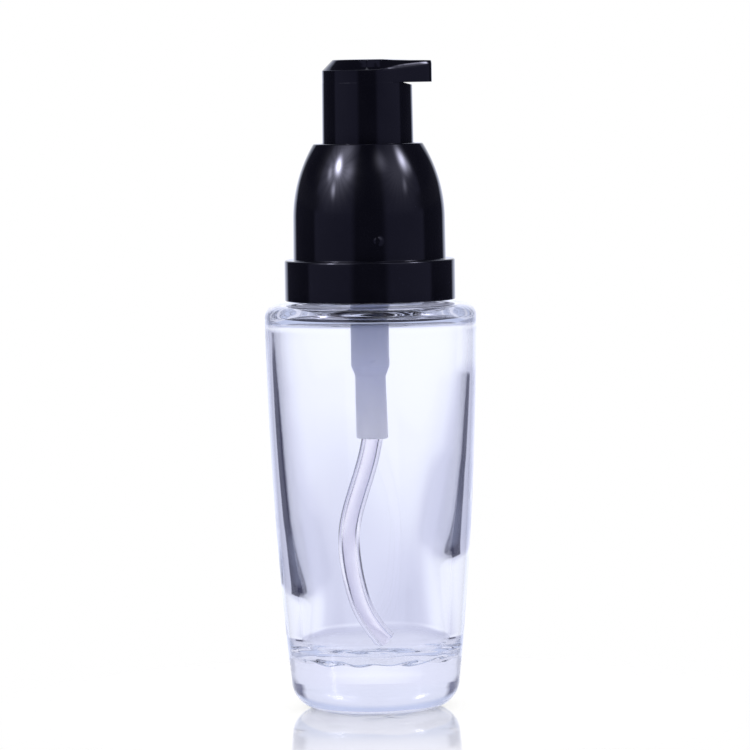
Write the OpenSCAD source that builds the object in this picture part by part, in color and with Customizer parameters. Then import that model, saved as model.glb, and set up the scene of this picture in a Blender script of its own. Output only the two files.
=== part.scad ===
// Foundation bottle: a tapered clear glass bottle with a thick base, closed by a
// glossy black lotion pump. The pump is the usual treatment pump: a decorative shell
// over a screw cap, and a spring-returned piston pump with a dip tube.
// Millimetres. +Z is up, the origin is the centre of the base, the nozzle points to +X.

/* [Glass bottle] */
// Outer radius of the glass just under its shoulder
glass_top_r = 17.5; // [17.3:0.1:18]
// Outer radius of the glass where the base corner ends
glass_foot_r = 14; // [13.6:0.1:14.2]
// Height of the rounded base corner
foot_h = 4.6; // [3:0.1:6]
// Radius of the flat ring that the bottle stands on
stand_r = 9.2; // [8.6:0.1:10]
// Thickness of the solid glass base
base_t = 8.4; // [7:0.2:10]
// Glass wall thickness near the shoulder
wall_top = 1.9; // [1.5:0.1:2.2]
// Glass wall thickness near the base
wall_foot = 2.7; // [2.2:0.1:3]
// Height of the shoulder where it meets the neck
shoulder_z = 67.5; // [67.3:0.05:67.6]

/* [Neck finish] */
// Radius of the neck under the thread
neck_r = 8.55; // [8.4:0.05:8.6]
// Radius of the bore through the neck
neck_bore_r = 6.2; // [6:0.05:6.4]
// Height of the sealing land on top of the neck
land_z = 77; // [76.9:0.05:77]
// Pitch of the screw thread
pitch = 3.175; // [3.1:0.005:3.2]
// Radius over the neck thread
thread_r = 9.6; // [9.4:0.05:9.6]
// Turns of thread on the neck and in the cap
thread_turns = 1.2; // [1:0.05:1.3]

/* [Outer shell] */
// Radius of the band at the foot of the shell
band_r = 14.1; // [14:0.05:14.2]
// Height of the lower edge of the band
band_z = 67.85; // [67.8:0.05:67.9]
// Height of the upper face of the band, where an overcap would rest
band_top = 74.6; // [74.3:0.1:75]
// Radius of the straight part of the dome
dome_r = 12.55; // [12.5:0.05:12.65]
// Wall thickness of the dome
shell_t = 1.2; // [1:0.05:1.2]
// Radius of the opening that the head slides in
opening_r = 7.85; // [7.8:0.05:8]
// Height of the rim around the opening
rim_z = 93.75; // [93.5:0.05:94]
// Number of snap bumps that hold an overcap
snap_count = 3; // [2:1:4]

/* [Pump head] */
// Radius of the head at its top
head_r = 7.42; // [7.3:0.02:7.5]
// Height of the top of the head
head_top = 107.6; // [107:0.1:108]
// Size of the bevel around the top of the head
bevel = 1.8; // [1.2:0.1:1.9]
// Reach of the nozzle tip from the axis
nozzle_reach = 10.7; // [10:0.1:11.5]
// Width of the nozzle at its tip
nozzle_w = 4.9; // [4:0.1:6]
// Radius of the outlet in the nozzle
outlet_r = 1; // [0.8:0.1:1.1]

/* [Pump engine] */
// Travel of the head
stroke = 6; // [5:0.1:6]
// Radius of the pump chamber
chamber_r = 2.6; // [2.6:0.05:2.7]
// Outer radius of the pump housing in the bottle
housing_r = 3.3; // [3.3:0.05:3.4]
// Outer radius of the stem
stem_r = 1.7; // [1.7:0.01:1.72]
// Outer radius of the dip tube
tube_r = 1.7; // [1.65:0.01:1.7]
// Inner radius of the dip tube
tube_bore_r = 1; // [0.9:0.05:1.1]
// Radius of the inlet ball
ball_r = 1.5; // [1.4:0.02:1.5]
// Wire radius of the return spring
wire_r = 0.25; // [0.2:0.01:0.27]
// Active turns of the return spring
spring_turns = 7.5; // [6:0.5:8]

/* [Hidden] */
$fn = 96;

// heights inside the pump
flange_z = land_z + 0.8;      // underside of the housing flange
flange_top = flange_z + 1;    // the screw cap's plate presses here
plate_z = flange_top + 0.05;
plate_top = plate_z + 1.1;
socket_z = 75.2;              // floor of the chaplet's socket in the housing
ledge_z = 58.3;               // ledge that the spring stands on
seat_z = 54.2;                // lower edge of the inlet ball's seat
tube_top = 52.8;              // upper end of the dip tube
tail_z = 44.8;                // lower end of the housing
piston_z = 71;                // lower lip of the piston at rest
piston_top = 75;
rod_seat_z = 69.5;            // underside of the rod's collar, where the spring pushes
stem_z = 73.6;                // lower end of the stem
stem_top = 102.9;
skirt_z = 87.6;               // lower edge of the head's skirt
channel_z = 105.3;            // axis of the channel in the nozzle
under_z = 103.72;             // underside of the nozzle

// route of the dip tube's centre line, as x and z, from the housing to the cavity floor
tube_pts = [
    [0, tube_top], [0, 45.6], [-0.15, 44.2], [-0.75, 41.6], [-1.6, 38.8], [-2.6, 35.8], [-3.5, 32.8], [-4.1, 29.8],
    [-4.2, 26.8], [-3.9, 23.6], [-3.4, 20.8], [-2.6, 17.8], [-1.4, 15.2], [0.1, 13], [1.9, 11]
];

// outer radius of the glass wall at height z: a gentle convex taper
wall_h = 62.5 - foot_h;
function glass_r(z) =
    let (t = (z - foot_h) / wall_h)
    glass_foot_r + (glass_top_r - glass_foot_r) * t + 2.6 * t * (1 - t) * (wall_h / 57.9);
// inner radius of the glass wall at height z
function cavity_r(z) =
    let (t = (z - foot_h) / wall_h)
    glass_r(z) - (wall_foot + (wall_top - wall_foot) * t);
// n + 1 points of an elliptical quarter from angle a to b, centred on c
function arc_pts(c, rx, rz, a, b, n) =
    [for (i = [0:n]) let (w = a + (b - a) * i / n) [c[0] + rx * cos(w), c[1] + rz * sin(w)]];

// one thread ridge: a trapezoid carried along a right-handed helix, run out at both ends
module thread_ridge(root, tip, w_root, w_tip, z0, turns) {
    per = 36;
    n = floor(turns * per);
    fade = 5;
    function k(i) = min(1, i / fade, (n - i) / fade);
    function sec(i) =
        let (a = i * 360 / per, z = z0 + pitch * i / per, t = root + (tip - root) * k(i))
        [[root * cos(a), root * sin(a), z - w_root / 2],
         [t * cos(a), t * sin(a), z - w_tip / 2],
         [t * cos(a), t * sin(a), z + w_tip / 2],
         [root * cos(a), root * sin(a), z + w_root / 2]];
    m = n - 1;
    pts = [for (i = [1:m]) each sec(i)];
    out = tip > root;
    side = [for (i = [0:m - 2], j = [0:3])
        let (a = 4 * i + j, b = 4 * i + (j + 1) % 4)
        out ? [a, b, b + 4, a + 4] : [a, a + 4, b + 4, b]];
    tris = [for (f = side) each [[f[0], f[1], f[2]], [f[0], f[2], f[3]]]];
    e = 4 * (m - 1);
    ends = out ? [[3, 2, 1, 0], [e, e + 1, e + 2, e + 3]] : [[0, 1, 2, 3], [e + 3, e + 2, e + 1, e]];
    polyhedron(points = pts, faces = concat(tris, ends), convexity = 6);
}

// clear glass: thick base with a push-up, tapered wall, soft shoulder, threaded neck
module bottle() {
    color([0.93, 0.95, 0.99, 0.35]) {
        rotate_extrude()
            polygon(concat(
                [[0, 0.7], [4, 0.5], [7, 0]],
                arc_pts([stand_r, foot_h], glass_foot_r - stand_r, foot_h, -90, 0, 8),
                [for (i = [1:12]) let (z = foot_h + (62.5 - foot_h) * i / 12) [glass_r(z), z]],
                arc_pts([glass_top_r - 2.1, shoulder_z - 2.35], 2.1, 2.1, 0, 90, 7),
                [[13, shoulder_z - 0.05], [9.7, shoulder_z]],
                arc_pts([neck_r + 1, shoulder_z + 1], 1, 1, -90, -180, 4),
                [[neck_r, land_z - 0.4], [neck_r - 0.4, land_z], [neck_bore_r, land_z], [neck_bore_r, shoulder_z - 0.4]],
                arc_pts([neck_bore_r + 2, shoulder_z - 0.4], 2, 2, 180, 270, 5),
                arc_pts([cavity_r(62) - 2.4, shoulder_z - 4.9], 2.4, 2.4, 90, 0, 7),
                [for (i = [1:12]) let (z = 62 - (62 - base_t - 4) * i / 12) [cavity_r(z), z]],
                arc_pts([cavity_r(base_t + 4) - 4, base_t + 4], 4, 4, -10, -90, 7),
                [[0, base_t]]
            ));
        thread_ridge(neck_r - 0.15, thread_r, 2.1, 0.9, 70.7, thread_turns);
    }
}

// black decorative shell: band at the foot and dome, open at the top for the head
module outer_shell() {
    arc_r = 24.2;
    c = [dome_r - arc_r, 81.2];
    in_r = dome_r - shell_t;
    color([0.05, 0.05, 0.07]) {
        difference() {
            rotate_extrude()
                polygon(concat(
                    [[in_r, band_z], [band_r - 0.15, band_z], [band_r, band_z + 0.15]],
                    arc_pts([band_r - 0.35, band_top - 0.35], 0.35, 0.35, 0, 90, 4),
                    [[dome_r + 0.07, band_top]],
                    arc_pts(c, arc_r, arc_r, 0, 30.5, 14),
                    arc_pts([8.845, rim_z - 0.35], 0.35, 0.35, 33, 90, 4),
                    [[opening_r + 0.1, rim_z], [opening_r, rim_z - 0.1], [opening_r, rim_z - 3.2], [opening_r + 1, rim_z - 3.2]],
                    arc_pts(c, arc_r - shell_t, arc_r - shell_t, 22, 0, 9)
                ));
            // groove that cores out the thick band from below
            translate([0, 0, band_z - 1]) linear_extrude(6.4) difference() {
                circle(r = band_r - 0.95);
                circle(r = in_r + 1);
            }
        }
        // small snap bumps for an overcap
        for (i = [0:snap_count - 1])
            rotate([0, 0, -83.5 + i * 360 / snap_count]) translate([dome_r - 0.62, 0, 78]) sphere(r = 0.9, $fn = 24);
    }
}

// plain black screw cap inside the shell, with drive ribs, a snap bead and the inner thread
module screw_cap() {
    cap_r = dome_r - shell_t - 0.2;
    color([0.09, 0.09, 0.1]) {
        difference() {
            union() {
                translate([0, 0, 68.4]) cylinder(r = cap_r, h = plate_top - 68.4);
                for (i = [0:11])
                    rotate([0, 0, i * 30]) translate([cap_r - 0.3, -0.6, 70]) cube([0.45, 1.2, 8]);
            }
            translate([0, 0, 68]) cylinder(r = thread_r + 0.25, h = plate_z - 68);
            translate([0, 0, 70]) cylinder(r = 5.5, h = 12);
        }
        thread_ridge(thread_r + 0.45, neck_r + 0.2, 2, 0.8, 70.7 - pitch / 2 + 0.08, thread_turns);
    }
}

// soft liner ring between the glass land and the pump flange
module neck_gasket() {
    color([0.85, 0.86, 0.88])
        translate([0, 0, land_z + 0.02]) difference() {
            cylinder(r = neck_r - 0.05, h = 0.76);
            translate([0, 0, -1]) cylinder(r = neck_bore_r + 0.1, h = 3);
        }
}

// moulded pump housing: flange and socket on top, chamber, ball cage, tube socket
module pump_housing() {
    color([0.82, 0.84, 0.9, 0.8]) {
        difference() {
            rotate_extrude()
                polygon([
                    [0, tail_z], [2.35, tail_z], [2.6, tail_z + 0.3], [2.6, 55.3], [housing_r, 56.9],
                    [housing_r, 72], [5.3, 74.5], [5.3, flange_z], [7.6, flange_z], [7.6, flange_top],
                    [5.3, flange_top], [5.3, plate_top], [0, plate_top]
                ]);
            // dip tube socket
            translate([0, 0, tail_z - 1]) cylinder(r = tube_r, h = tube_top + 0.1 - tail_z + 1);
            // inlet passage, conical seat, ball cage, chamber, chaplet socket
            translate([0, 0, 52]) cylinder(r = 1.1, h = 4);
            translate([0, 0, seat_z]) cylinder(r1 = 1.1, r2 = 1.75, h = 1);
            translate([0, 0, seat_z + 1]) cylinder(r = 1.75, h = 4);
            translate([0, 0, ledge_z]) cylinder(r = chamber_r, h = 20);
            translate([0, 0, socket_z]) cylinder(r = 4.5, h = 8);
            // air vent through the wall, above the piston
            translate([0, 0, 74.3]) rotate([0, 90, 0]) cylinder(r = 0.35, h = 8);
        }
        // three nubs that keep the ball in its cage
        for (a = [0, 120, 240])
            rotate([0, 0, a]) translate([1.2, -0.3, ledge_z - 0.55]) cube([0.8, 0.6, 0.5]);
    }
}

// chaplet: snaps into the housing through the cap's plate, guides the stem, stops the piston
module chaplet() {
    color([0.9, 0.91, 0.94])
        difference() {
            rotate_extrude()
                polygon([
                    [stem_r + 0.07, socket_z + 0.1], [2.5, socket_z + 0.1], [2.5, 79.2], [3.4, 79.2],
                    [3.4, socket_z + 0.1], [4.48, socket_z + 0.1], [4.48, plate_top + 0.05],
                    [6.5, plate_top + 0.05], [6.7, plate_top + 0.25], [6.7, plate_top + 0.6],
                    [6.5, plate_top + 0.8], [stem_r + 0.4, plate_top + 0.8], [stem_r + 0.07, plate_top + 0.5]
                ]);
            // vent slot beside the stem
            translate([stem_r - 0.2, -0.3, 70]) cube([0.5, 0.6, 20]);
        }
}

// hollow stem: pressed into the head, carries the product up
module stem() {
    color([0.88, 0.9, 0.94])
        difference() {
            translate([0, 0, stem_z]) cylinder(r = stem_r, h = stem_top - stem_z);
            translate([0, 0, stem_z - 1]) cylinder(r = 1.1, h = stem_top - stem_z + 2);
        }
}

// lower valve rod: spring guide, collar, sealing cone, fluted plug that grips the stem's bore
module valve_rod() {
    color([0.92, 0.93, 0.95])
        difference() {
            rotate_extrude()
                polygon([
                    [0, 66], [0.8, 66], [1.25, 66.6], [1.25, rod_seat_z], [2.3, rod_seat_z], [2.3, rod_seat_z + 0.7],
                    [2, rod_seat_z + 0.9], [1, 71.7], [1, 73.4], [1.1, 73.5], [1.1, 77.6], [0.8, 78], [0, 78]
                ]);
            // flutes that let the product past the plug
            for (a = [0, 90, 180, 270])
                rotate([0, 0, a + 45]) translate([0.55, -0.3, 72]) cube([1, 0.6, 10]);
        }
}

// piston: soft ring with an upper and a lower lip, seals on the rod's cone at rest
module piston() {
    color([0.8, 0.83, 0.9])
        rotate_extrude()
            polygon([
                [1.43, 71.18], [1.6, 70.98], [2, 71.6], [2.3, piston_z], [chamber_r - 0.03, piston_z], [chamber_r - 0.03, 71.5],
                [2.25, 72.3], [2.25, 73.9], [chamber_r - 0.03, 74.5], [chamber_r - 0.03, piston_top], [2.3, piston_top],
                [2.1, 74.6], [1.95, piston_top], [stem_r + 0.05, piston_top], [stem_r + 0.05, 72.6], [1.3, 72.6], [1.3, 71.6]
            ]);
}

// return spring: round wire, closed end coils, stands on the housing's ledge
module return_spring() {
    per = 16;
    dead = 1;
    turns = spring_turns + 2 * dead;
    n = turns * per;
    bot = ledge_z + wire_r + 0.02;
    top = rod_seat_z - wire_r - 0.02;
    lift = 2 * wire_r * 1.02;
    coil_r = 2.05;
    function sz(i) =
        let (t = i / per)
        t < dead ? bot + lift * t / dead
        : t > turns - dead ? top - lift * (turns - t) / dead
        : bot + lift + (top - bot - 2 * lift) * (t - dead) / (turns - 2 * dead);
    pts = [for (i = [0:n], j = [0:5])
        let (a = i * 360 / per, b = j * 60, r = coil_r + wire_r * cos(b))
        [r * cos(a), r * sin(a), sz(i) + wire_r * sin(b)]];
    side = [for (i = [0:n - 1], j = [0:5])
        let (a = 6 * i + j, b = 6 * i + (j + 1) % 6) [a, b, b + 6, a + 6]];
    tris = [for (f = side) each [[f[0], f[1], f[2]], [f[0], f[2], f[3]]]];
    color([0.72, 0.73, 0.75])
        polyhedron(points = pts, faces = concat(tris, [[for (j = [5:-1:0]) j], [for (j = [0:5]) 6 * n + j]]), convexity = 10);
}

// glass or steel ball that closes the inlet
module inlet_ball() {
    color([0.75, 0.78, 0.8])
        translate([0, 0, 55.3]) sphere(r = ball_r);
}

// soft dip tube with the set it takes on a coil: an S that ends just over the cavity floor
module dip_tube() {
    sides = 16;
    n = len(tube_pts) - 1;
    // a smooth curve through the route's points, as x and z
    function p(i) = tube_pts[max(0, min(n, i))];
    function at(u) =
        let (i = min(n - 1, floor(u)), t = u - i, a = p(i - 1), b = p(i), c = p(i + 1), d = p(i + 2))
        0.5 * (2 * b + (c - a) * t + (2 * a - 5 * b + 4 * c - d) * t * t + (3 * b - 3 * c + d - a) * t * t * t);
    us = [0, 1, for (i = [4:3 * n]) i / 3];
    m = len(us) - 1;
    function dir(k) = let (v = at(min(n, us[k] + 0.05)) - at(max(0, us[k] - 0.05))) v / norm(v);
    function ring(k, r) =
        let (c = at(us[k]), d = dir(k))
        [for (j = [0:sides - 1]) let (w = 360 * j / sides)
            [c[0] - d[1] * r * cos(w), r * sin(w), c[1] + d[0] * r * cos(w)]];
    outer = [for (k = [0:m]) each ring(k, tube_r)];
    inner = [for (k = [0:m]) each ring(k, tube_bore_r)];
    o = len(outer);
    function quad(a, b, c, d) = [[a, b, c], [a, c, d]];
    walls = [for (k = [0:m - 1], j = [0:sides - 1])
        let (a = k * sides + j, b = k * sides + (j + 1) % sides, c = b + sides, d = a + sides)
        each concat(quad(a, d, c, b), quad(o + a, o + b, o + c, o + d))];
    e = m * sides;
    rims = [for (j = [0:sides - 1])
        let (a = j, b = (j + 1) % sides)
        each concat(quad(a, b, o + b, o + a), quad(e + a, o + e + a, o + e + b, e + b))];
    color([0.9, 0.9, 0.93, 0.5]) polyhedron(points = concat(outer, inner), faces = concat(walls, rims), convexity = 8);
}

// plan outline of the nozzle, drawn in by d at the sides and tip: its sides leave the
// head almost along tangents
module nozzle_plan(d) {
    a = 30;
    r = head_r - d - 0.08;
    polygon([
        [0, r - 1], [0, 1 - r],
        [r * sin(a), -r * cos(a)],
        [nozzle_reach - d / 8, -nozzle_w / 2 + d / 4],
        [nozzle_reach - d / 8, nozzle_w / 2 - d / 4],
        [r * sin(a), r * cos(a)]
    ]);
}

// pump head: skirted cylinder with a bevelled top and a spout, and the socket for the stem
module actuator() {
    top = head_top;
    color([0.05, 0.05, 0.07])
        difference() {
            union() {
                translate([0, 0, skirt_z]) cylinder(r1 = head_r + 0.16, r2 = head_r, h = top - bevel - skirt_z);
                translate([0, 0, top - bevel]) cylinder(r1 = head_r, r2 = head_r - bevel, h = bevel);
                hull() {
                    translate([0, 0, under_z]) linear_extrude(top - bevel - under_z + 0.3) nozzle_plan(0);
                    translate([0, 0, top - 0.3]) linear_extrude(0.05) nozzle_plan(bevel);
                }
            }
            // hollow skirt around the stem socket
            difference() {
                translate([0, 0, skirt_z - 1]) cylinder(r = head_r - 1.1, h = 103.2 - skirt_z + 1);
                translate([0, 0, 95]) cylinder(r = 2.8, h = 12);
                for (a = [45, 135])
                    rotate([0, 0, a]) translate([-8, -0.4, 98.5]) cube([16, 0.8, 6]);
            }
            // stem socket, riser and channel to the tip
            translate([0, 0, 90]) cylinder(r = stem_r, h = stem_top + 0.1 - 90);
            translate([0, 0, 100]) cylinder(r = 1.1, h = channel_z - 100);
            translate([0, 0, channel_z]) rotate([0, 90, 0]) cylinder(r = 0.8, h = 20);
            translate([nozzle_reach - 3, 0, channel_z]) rotate([0, 90, 0]) cylinder(r = outlet_r, h = 5);
            // relief under the root of the nozzle
            rotate([90, 0, 0]) translate([0, 0, -8]) linear_extrude(16)
                polygon([[5.9, under_z], [8, under_z - 0.55], [8, under_z]]);
        }
}

bottle();
outer_shell();
screw_cap();
neck_gasket();
pump_housing();
chaplet();
stem();
valve_rod();
piston();
return_spring();
inlet_ball();
dip_tube();
actuator();
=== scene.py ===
import bpy
import bmesh
import math
import numpy as np
from mathutils import Matrix, Vector


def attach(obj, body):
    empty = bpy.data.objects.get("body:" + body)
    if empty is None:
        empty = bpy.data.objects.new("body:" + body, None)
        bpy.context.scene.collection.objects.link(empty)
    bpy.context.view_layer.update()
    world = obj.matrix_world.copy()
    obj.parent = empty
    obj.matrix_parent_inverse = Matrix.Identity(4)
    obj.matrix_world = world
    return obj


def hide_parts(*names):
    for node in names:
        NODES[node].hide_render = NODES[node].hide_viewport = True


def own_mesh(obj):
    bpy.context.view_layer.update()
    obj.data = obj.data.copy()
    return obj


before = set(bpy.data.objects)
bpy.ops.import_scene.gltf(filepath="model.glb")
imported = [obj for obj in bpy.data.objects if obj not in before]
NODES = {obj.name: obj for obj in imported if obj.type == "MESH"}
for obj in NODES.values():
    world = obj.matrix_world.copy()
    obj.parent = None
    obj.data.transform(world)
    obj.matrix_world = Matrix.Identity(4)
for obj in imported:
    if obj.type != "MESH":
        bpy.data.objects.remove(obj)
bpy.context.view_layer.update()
MM = 0.001

# ------------------------------------------------------------------ camera
scene = bpy.context.scene
scene.view_settings.view_transform = "Standard"
scene.view_settings.look = "None"
scene.view_settings.exposure = 0.0
scene.view_settings.gamma = 1.0
scene.cycles.max_bounces = 100
scene.cycles.glossy_bounces = 100
scene.cycles.transmission_bounces = 100
scene.cycles.transparent_max_bounces = 16

FOCAL_PX = 4400.0
cam_data = bpy.data.cameras.new("cam")
cam_data.sensor_width = 36.0
cam_data.lens = 36.0 * FOCAL_PX / 750.0
cam_data.clip_start = 0.05
cam_data.clip_end = 40.0
cam = bpy.data.objects.new("cam", cam_data)
scene.collection.objects.link(cam)
pitch = math.radians(3.871)
roll = math.radians(0.85)
cam.matrix_world = (Matrix.Translation((0.60 * MM, -728 * MM, 104.6 * MM))
                    @ Matrix.Rotation(math.pi / 2 - pitch, 4, "X")
                    @ Matrix.Rotation(-roll, 4, "Z"))
scene.camera = cam


# ------------------------------------------------------------------ mesh helpers
def mesh_object(name, verts, faces, sharp=None):
    me = bpy.data.meshes.new(name)
    me.from_pydata([tuple(float(c) * MM for c in v) for v in verts], [], faces)
    me.validate()
    me.update()
    for p in me.polygons:
        p.use_smooth = True
    if sharp:
        me.set_sharp_from_angle(angle=math.radians(sharp))
    o = bpy.data.objects.new(name, me)
    scene.collection.objects.link(o)
    return o


def recalc(o):
    bm = bmesh.new()
    bm.from_mesh(o.data)
    bmesh.ops.recalc_face_normals(bm, faces=bm.faces)
    bm.to_mesh(o.data)
    bm.free()


def rounded(points, n=6):
    """A profile from (r, z, fillet) points, corners rounded by true tangent arcs."""
    out = []
    m = len(points)
    for i, p in enumerate(points):
        r = p[2] if len(p) > 2 else 0
        if r <= 0 or i == 0 or i == m - 1:
            out.append((p[0], p[1]))
            continue
        a, b, c = (np.array(points[k][:2], float) for k in (i - 1, i, i + 1))
        u, v = a - b, c - b
        lu, lv = np.linalg.norm(u), np.linalg.norm(v)
        u, v = u / lu, v / lv
        ang = math.acos(max(-1, min(1, float(u @ v))))
        if ang > math.pi - 0.02:
            out.append((p[0], p[1]))
            continue
        d = min(r / math.tan(ang / 2), lu * 0.49, lv * 0.49)
        r = d * math.tan(ang / 2)
        w = (u + v) / np.linalg.norm(u + v)
        cen = b + w * (r / math.sin(ang / 2))
        s, e = b + u * d - cen, b + v * d - cen
        a0, a1 = math.atan2(s[1], s[0]), math.atan2(e[1], e[0])
        da = (a1 - a0 + math.pi) % (2 * math.pi) - math.pi
        for k in range(n + 1):
            t = a0 + da * k / n
            out.append((cen[0] + r * math.cos(t), cen[1] + r * math.sin(t)))
    return out


def arc(cx, cz, rx, rz, a, b, n):
    return [(cx + rx * math.cos(math.radians(a + (b - a) * i / n)),
             cz + rz * math.sin(math.radians(a + (b - a) * i / n))) for i in range(n + 1)]


def spaced(profile, step):
    """The profile with long stretches cut up, and repeated points dropped."""
    out = [profile[0]]
    for q in profile[1:]:
        p = out[-1]
        l = math.hypot(q[0] - p[0], q[1] - p[1])
        if l < 1e-6:
            continue
        k = max(1, math.ceil(l / step))
        for i in range(1, k + 1):
            out.append((p[0] + (q[0] - p[0]) * i / k, p[1] + (q[1] - p[1]) * i / k))
    return out


def lathe(name, profile, seg=192, move=None, closed=False, sharp=None):
    """Turns a profile of (r, z) round the Z axis. move(r, z, angle, i) may shift a point. Points on the axis close the form."""
    verts, rings = [], []
    for i, (r, z) in enumerate(profile):
        if r < 1e-6:
            rings.append([len(verts)] * seg)
            verts.append((0, 0, z))
            continue
        ring = []
        for k in range(seg):
            a = 2 * math.pi * k / seg
            rr, zz = move(r, z, a, i) if move else (r, z)
            ring.append(len(verts))
            verts.append((rr * math.cos(a), rr * math.sin(a), zz))
        rings.append(ring)
    faces = []
    n = len(rings)
    for i in range(n if closed else n - 1):
        A, B = rings[i], rings[(i + 1) % n]
        for k in range(seg):
            f = [A[k], A[(k + 1) % seg], B[(k + 1) % seg], B[k]]
            g = [f[j] for j in range(4) if f[j] != f[j - 1]]
            if len(g) > 2:
                faces.append(g)
    o = mesh_object(name, verts, faces)
    recalc(o)
    if sharp:
        o.data.set_sharp_from_angle(angle=math.radians(sharp))
    return o


def lerp(x, xs, ys):
    return float(np.interp(x, xs, ys))


def smooth(t):
    t = max(0.0, min(1.0, t))
    return t * t * (3 - 2 * t)


# ------------------------------------------------------------------ materials
def material(name):
    m = bpy.data.materials.new(name)
    m.use_nodes = True
    nt = m.node_tree
    b = nt.nodes["Principled BSDF"]
    return m, nt, b


def noise(nt, scale, detail=3.0, rough=0.5, stretch=None):
    tc = nt.nodes.new("ShaderNodeTexCoord")
    src = tc.outputs["Object"]
    if stretch:
        mp = nt.nodes.new("ShaderNodeMapping")
        mp.inputs["Scale"].default_value = stretch
        nt.links.new(src, mp.inputs["Vector"])
        src = mp.outputs["Vector"]
    n = nt.nodes.new("ShaderNodeTexNoise")
    n.inputs["Scale"].default_value = scale
    n.inputs["Detail"].default_value = detail
    n.inputs["Roughness"].default_value = rough
    nt.links.new(src, n.inputs["Vector"])
    return n.outputs["Fac"]


def ramp(nt, fac, lo, hi, a=0.0, b=1.0):
    r = nt.nodes.new("ShaderNodeMapRange")
    r.inputs["From Min"].default_value = a
    r.inputs["From Max"].default_value = b
    r.inputs["To Min"].default_value = lo
    r.inputs["To Max"].default_value = hi
    nt.links.new(fac, r.inputs["Value"])
    return r.outputs["Result"]


def bump(nt, b, height, strength, distance):
    n = nt.nodes.new("ShaderNodeBump")
    n.inputs["Strength"].default_value = strength
    n.inputs["Distance"].default_value = distance
    nt.links.new(height, n.inputs["Height"])
    nt.links.new(n.outputs["Normal"], b.inputs["Normal"])


def colours(nt, fac, c0, c1, p0=0.3, p1=0.7):
    r = nt.nodes.new("ShaderNodeValToRGB")
    r.color_ramp.elements[0].position = p0
    r.color_ramp.elements[0].color = (*c0, 1)
    r.color_ramp.elements[1].position = p1
    r.color_ramp.elements[1].color = (*c1, 1)
    nt.links.new(fac, r.inputs["Fac"])
    return r.outputs["Color"]


def plastic(name, c0, c1, rough, spread, scale, bumps=(0.1, 0.00002, 400.0), sss=0.0, ior=1.5, transmission=0.0):
    m, nt, b = material(name)
    nt.links.new(colours(nt, noise(nt, scale), c0, c1), b.inputs["Base Color"])
    nt.links.new(ramp(nt, noise(nt, scale * 2.3, 4.0), rough - spread, rough + spread, 0.3, 0.7), b.inputs["Roughness"])
    b.inputs["IOR"].default_value = ior
    b.inputs["Transmission Weight"].default_value = transmission
    if sss:
        b.inputs["Subsurface Weight"].default_value = sss
        b.inputs["Subsurface Radius"].default_value = (1.0, 1.0, 1.0)
        b.inputs["Subsurface Scale"].default_value = 0.0015
    bump(nt, b, noise(nt, bumps[2], 3.0), bumps[0], bumps[1])
    return m


# clear flint glass: faint waviness of the mould and the least tint
M_GLASS, nt, b = material("clear_glass")
nt.links.new(colours(nt, noise(nt, 60.0, 2.0), (0.982, 0.985, 0.998), (0.99, 0.992, 1.0)), b.inputs["Base Color"])
nt.links.new(ramp(nt, noise(nt, 900.0, 3.0), 0.0, 0.012, 0.45, 0.75), b.inputs["Roughness"])
b.inputs["Transmission Weight"].default_value = 1.0
b.inputs["IOR"].default_value = 1.52
bump(nt, b, noise(nt, 110.0, 1.5, 0.4, (1.0, 1.0, 0.35)), 0.12, 0.0004)

# high-gloss black: near mirror, with faint orange peel and handling haze
M_BLACK, nt, b = material("black_gloss")
nt.links.new(colours(nt, noise(nt, 160.0, 4.0), (0.0022, 0.0022, 0.0045), (0.0034, 0.0034, 0.0064)), b.inputs["Base Color"])
nt.links.new(ramp(nt, noise(nt, 420.0, 5.0), 0.035, 0.075, 0.35, 0.7), b.inputs["Roughness"])
b.inputs["IOR"].default_value = 1.5
bump(nt, b, noise(nt, 260.0, 2.0), 0.05, 0.00005)

M_CAP = plastic("black_cap", (0.010, 0.010, 0.012), (0.018, 0.018, 0.021), 0.38, 0.05, 200.0)
M_WHITE = plastic("white_pp", (0.74, 0.75, 0.79), (0.80, 0.81, 0.84), 0.34, 0.05, 260.0, sss=0.2)
M_SOFT = plastic("soft_pe", (0.66, 0.69, 0.76), (0.74, 0.76, 0.82), 0.42, 0.06, 260.0, sss=0.3)
M_LINER = plastic("liner", (0.66, 0.67, 0.69), (0.76, 0.77, 0.78), 0.8, 0.08, 900.0, (0.4, 0.00008, 1800.0))

# natural polypropylene: milky, soft, lightly waxy
M_HOUSING = plastic("natural_pp", (0.47, 0.52, 0.72), (0.55, 0.60, 0.79), 0.32, 0.05, 220.0, (0.12, 0.00003, 500.0), sss=0.35)
nt = M_HOUSING.node_tree
tc = nt.nodes.new("ShaderNodeTexCoord")
sp = nt.nodes.new("ShaderNodeSeparateXYZ")
nt.links.new(tc.outputs["Object"], sp.inputs[0])
# painted shade: a height ramp from 46 mm to 68 mm, darker towards the top under the black cap
up = nt.nodes.new("ShaderNodeMapRange")
up.inputs["From Min"].default_value = 0.046
up.inputs["From Max"].default_value = 0.068
nt.links.new(sp.outputs["Z"], up.inputs["Value"])
painted_shade_and_mottle = nt.nodes.new("ShaderNodeMath")
painted_shade_and_mottle.operation = "MULTIPLY_ADD"
nt.links.new(noise(nt, 160.0, 3.0), painted_shade_and_mottle.inputs[0])
painted_shade_and_mottle.inputs[1].default_value = 0.25
nt.links.new(up.outputs["Result"], painted_shade_and_mottle.inputs[2])
# painted shade: the base colour is pale at the thin tube socket and darkens up the barrel towards the black cap,
# standing in for the cap's shadow, with a little random mottle
nt.links.new(colours(nt, painted_shade_and_mottle.outputs[0], (0.75, 0.77, 0.95), (0.40, 0.45, 0.71), 0.1, 1.0), nt.nodes["Principled BSDF"].inputs["Base Color"])

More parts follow.
